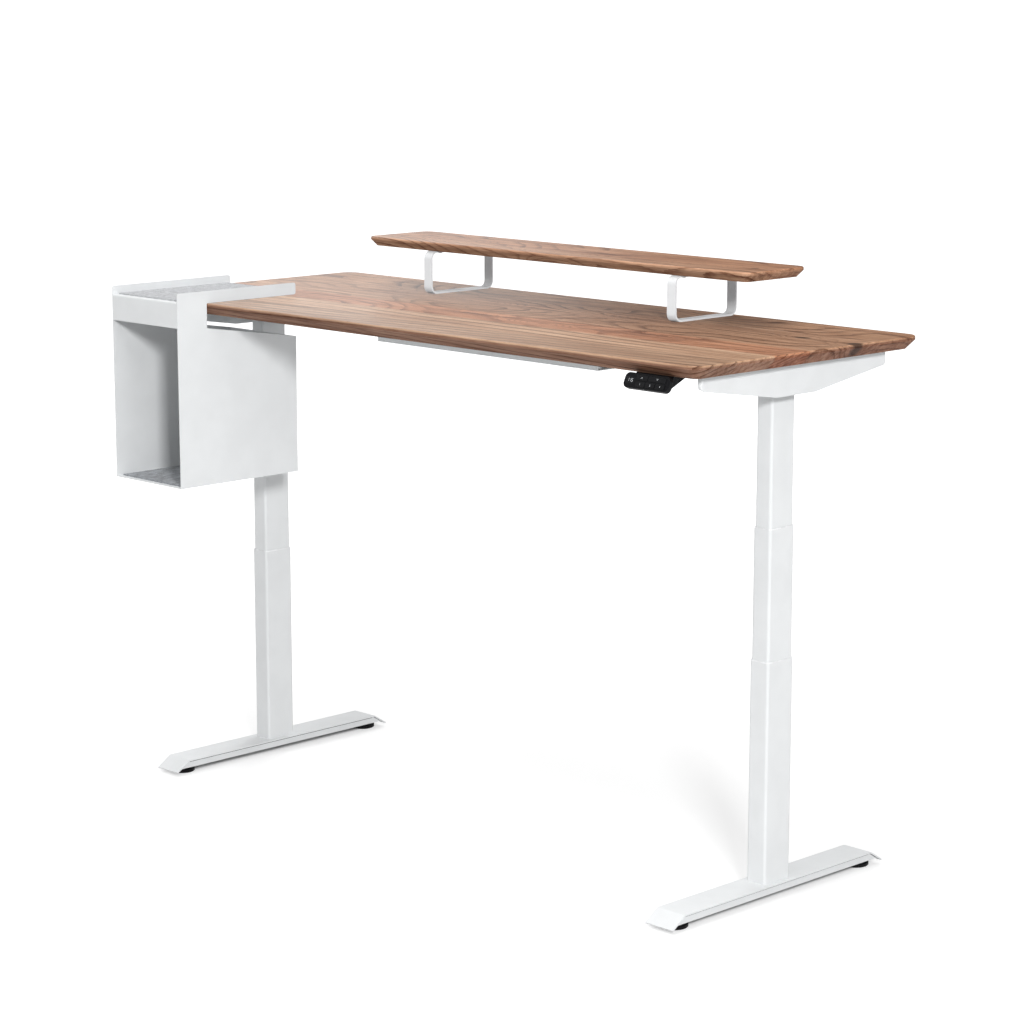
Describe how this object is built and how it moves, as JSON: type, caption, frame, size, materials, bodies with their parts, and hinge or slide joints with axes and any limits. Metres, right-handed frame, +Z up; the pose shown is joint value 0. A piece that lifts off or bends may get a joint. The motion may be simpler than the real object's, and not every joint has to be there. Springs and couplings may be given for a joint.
{
  "type": "standing desk",
  "caption": "Height-adjustable desk with a bevelled wooden top on telescoping steel columns, a raised shelf, a hand keypad and a hook-on steel pannier.",
  "frame": {"origin": "middle of the footprint on the floor", "axes": "+X along the desk to the user's right, +Y away from the user, +Z up"},
  "size_m": [1.8, 0.786, 1.277],
  "materials": {
    "white_steel": "satin powder coat",
    "wood": "oiled, staves along the length",
    "black_plastic": "fine moulded texture",
    "key_plastic": "fine moulded texture with pale signs",
    "screen": "smooth dark window",
    "cap_plastic": "moulded",
    "zinc_steel": "zinc plated",
    "drive_metal": "black paint",
    "tray_felt": "pressed wool felt",
    "box_felt": "pressed wool felt"
  },
  "bodies": {
    "base": {"foot_left": "white_steel", "foot_right": "white_steel", "glide_nuts": "zinc_steel", "column_outer_left": "white_steel", "column_outer_right": "white_steel", "outer_caps": "cap_plastic", "column_base_plates": "zinc_steel", "foot_bolts": "zinc_steel"},
    "left_front_glide": {"glide_left_front": "black_plastic"},
    "left_back_glide": {"glide_left_back": "black_plastic"},
    "right_front_glide": {"glide_right_front": "black_plastic"},
    "right_back_glide": {"glide_right_back": "black_plastic"},
    "left_middle_stage": {"column_middle_left": "white_steel", "middle_cap_left": "cap_plastic", "middle_nut_left": "zinc_steel"},
    "right_middle_stage": {"column_middle_right": "white_steel", "middle_cap_right": "cap_plastic", "middle_nut_right": "zinc_steel"},
    "left_lower_drive": {"lower_screw_left": "zinc_steel"},
    "left_upper_drive": {"upper_screw_left": "zinc_steel"},
    "left_shaft_drive": {"drive_shaft_left": "zinc_steel"},
    "right_lower_drive": {"lower_screw_right": "zinc_steel"},
    "right_upper_drive": {"upper_screw_right": "zinc_steel"},
    "right_shaft_drive": {"drive_shaft_right": "zinc_steel"},
    "desk": {"column_inner_left": "white_steel", "column_inner_right": "white_steel", "inner_nut_left": "zinc_steel", "inner_nut_right": "zinc_steel", "gear_housing_left": "drive_metal", "gear_housing_right": "drive_metal", "motor_left": "drive_metal", "motor_right": "drive_metal", "side_bracket_left": "white_steel", "side_bracket_right": "white_steel", "frame_bolts": "zinc_steel", "wood_screws": "zinc_steel", "crossbeams": "white_steel", "cable_tray_floor": "white_steel", "cable_tray_sides": "white_steel", "control_box": "black_plastic", "desktop": "wood", "shelf_board": "wood", "shelf_leg_left": "white_steel", "shelf_leg_right": "white_steel", "shelf_screws": "zinc_steel", "keypad_body": "black_plastic", "keypad_mount": "black_plastic", "keypad_screen": "screen"},
    "key_up_cap": {"key_up": "key_plastic"},
    "key_down_cap": {"key_down": "key_plastic"},
    "key_1_cap": {"key_1": "key_plastic"},
    "key_2_cap": {"key_2": "key_plastic"},
    "key_3_cap": {"key_3": "key_plastic"},
    "pannier": {"pannier_left_side": "white_steel", "pannier_right_side": "white_steel", "pannier_back": "white_steel", "pannier_bottom": "white_steel", "pannier_tray": "white_steel", "tray_felt": "tray_felt", "box_felt": "box_felt"}
  },
  "joints": [
    {"name": "desk_lift", "type": "slide", "parent": "base", "child": "desk", "axis": [0, 0, 1], "range_m": [-0.535, 0.105]},
    {"name": "left_middle_lift", "type": "slide", "parent": "base", "child": "left_middle_stage", "axis": [0, 0, 1], "range_m": [-0.2675, 0.0525]},
    {"name": "right_middle_lift", "type": "slide", "parent": "base", "child": "right_middle_stage", "axis": [0, 0, 1], "range_m": [-0.2675, 0.0525]},
    {"name": "left_lower_turn", "type": "hinge", "parent": "base", "child": "left_lower_drive", "pos_m": [-0.802, 0.043, 0.3], "axis": [0, 0, 1], "continuous": true},
    {"name": "left_upper_turn", "type": "hinge", "parent": "left_middle_stage", "child": "left_upper_drive", "pos_m": [-0.802, 0.043, 0.3], "axis": [0, 0, 1], "continuous": true},
    {"name": "left_shaft_turn", "type": "hinge", "parent": "desk", "child": "left_shaft_drive", "pos_m": [-0.802, 0.043, 0.3], "axis": [0, 0, 1], "continuous": true},
    {"name": "right_lower_turn", "type": "hinge", "parent": "base", "child": "right_lower_drive", "pos_m": [0.802, 0.043, 0.3], "axis": [0, 0, 1], "continuous": true},
    {"name": "right_upper_turn", "type": "hinge", "parent": "right_middle_stage", "child": "right_upper_drive", "pos_m": [0.802, 0.043, 0.3], "axis": [0, 0, 1], "continuous": true},
    {"name": "right_shaft_turn", "type": "hinge", "parent": "desk", "child": "right_shaft_drive", "pos_m": [0.802, 0.043, 0.3], "axis": [0, 0, 1], "continuous": true},
    {"name": "left_front_glide_screw", "type": "hinge", "parent": "base", "child": "left_front_glide", "pos_m": [-0.802, -0.2475, 0], "axis": [0, 0, 1], "continuous": true},
    {"name": "left_back_glide_screw", "type": "hinge", "parent": "base", "child": "left_back_glide", "pos_m": [-0.802, 0.3335, 0], "axis": [0, 0, 1], "continuous": true},
    {"name": "right_front_glide_screw", "type": "hinge", "parent": "base", "child": "right_front_glide", "pos_m": [0.802, -0.2475, 0], "axis": [0, 0, 1], "continuous": true},
    {"name": "right_back_glide_screw", "type": "hinge", "parent": "base", "child": "right_back_glide", "pos_m": [0.802, 0.3335, 0], "axis": [0, 0, 1], "continuous": true},
    {"name": "key_up_press", "type": "slide", "parent": "desk", "child": "key_up_cap", "axis": [0, 0.9063, -0.4226], "range_m": [0, 0.0008], "stiffness_N_per_m": 2000, "springref_m": -0.0003},
    {"name": "key_down_press", "type": "slide", "parent": "desk", "child": "key_down_cap", "axis": [0, 0.9063, -0.4226], "range_m": [0, 0.0008], "stiffness_N_per_m": 2000, "springref_m": -0.0003},
    {"name": "key_1_press", "type": "slide", "parent": "desk", "child": "key_1_cap", "axis": [0, 0.9063, -0.4226], "range_m": [0, 0.0008], "stiffness_N_per_m": 2000, "springref_m": -0.0003},
    {"name": "key_2_press", "type": "slide", "parent": "desk", "child": "key_2_cap", "axis": [0, 0.9063, -0.4226], "range_m": [0, 0.0008], "stiffness_N_per_m": 2000, "springref_m": -0.0003},
    {"name": "key_3_press", "type": "slide", "parent": "desk", "child": "key_3_cap", "axis": [0, 0.9063, -0.4226], "range_m": [0, 0.0008], "stiffness_N_per_m": 2000, "springref_m": -0.0003},
    {"name": "pannier_slide", "type": "slide", "parent": "desk", "child": "pannier", "axis": [1, 0, 0], "range_m": [-0.055, 1.2]}
  ],
  "couplings": [
    {"joint": "left_middle_lift", "follows": "desk_lift", "ratio": 0.5},
    {"joint": "right_middle_lift", "follows": "desk_lift", "ratio": 0.5},
    {"joint": "left_lower_turn", "follows": "desk_lift", "rad_per_m": 314.16},
    {"joint": "left_upper_turn", "follows": "desk_lift", "rad_per_m": 314.16},
    {"joint": "left_shaft_turn", "follows": "desk_lift", "rad_per_m": 314.16},
    {"joint": "right_lower_turn", "follows": "desk_lift", "rad_per_m": 314.16},
    {"joint": "right_upper_turn", "follows": "desk_lift", "rad_per_m": 314.16},
    {"joint": "right_shaft_turn", "follows": "desk_lift", "rad_per_m": 314.16}
  ]
}
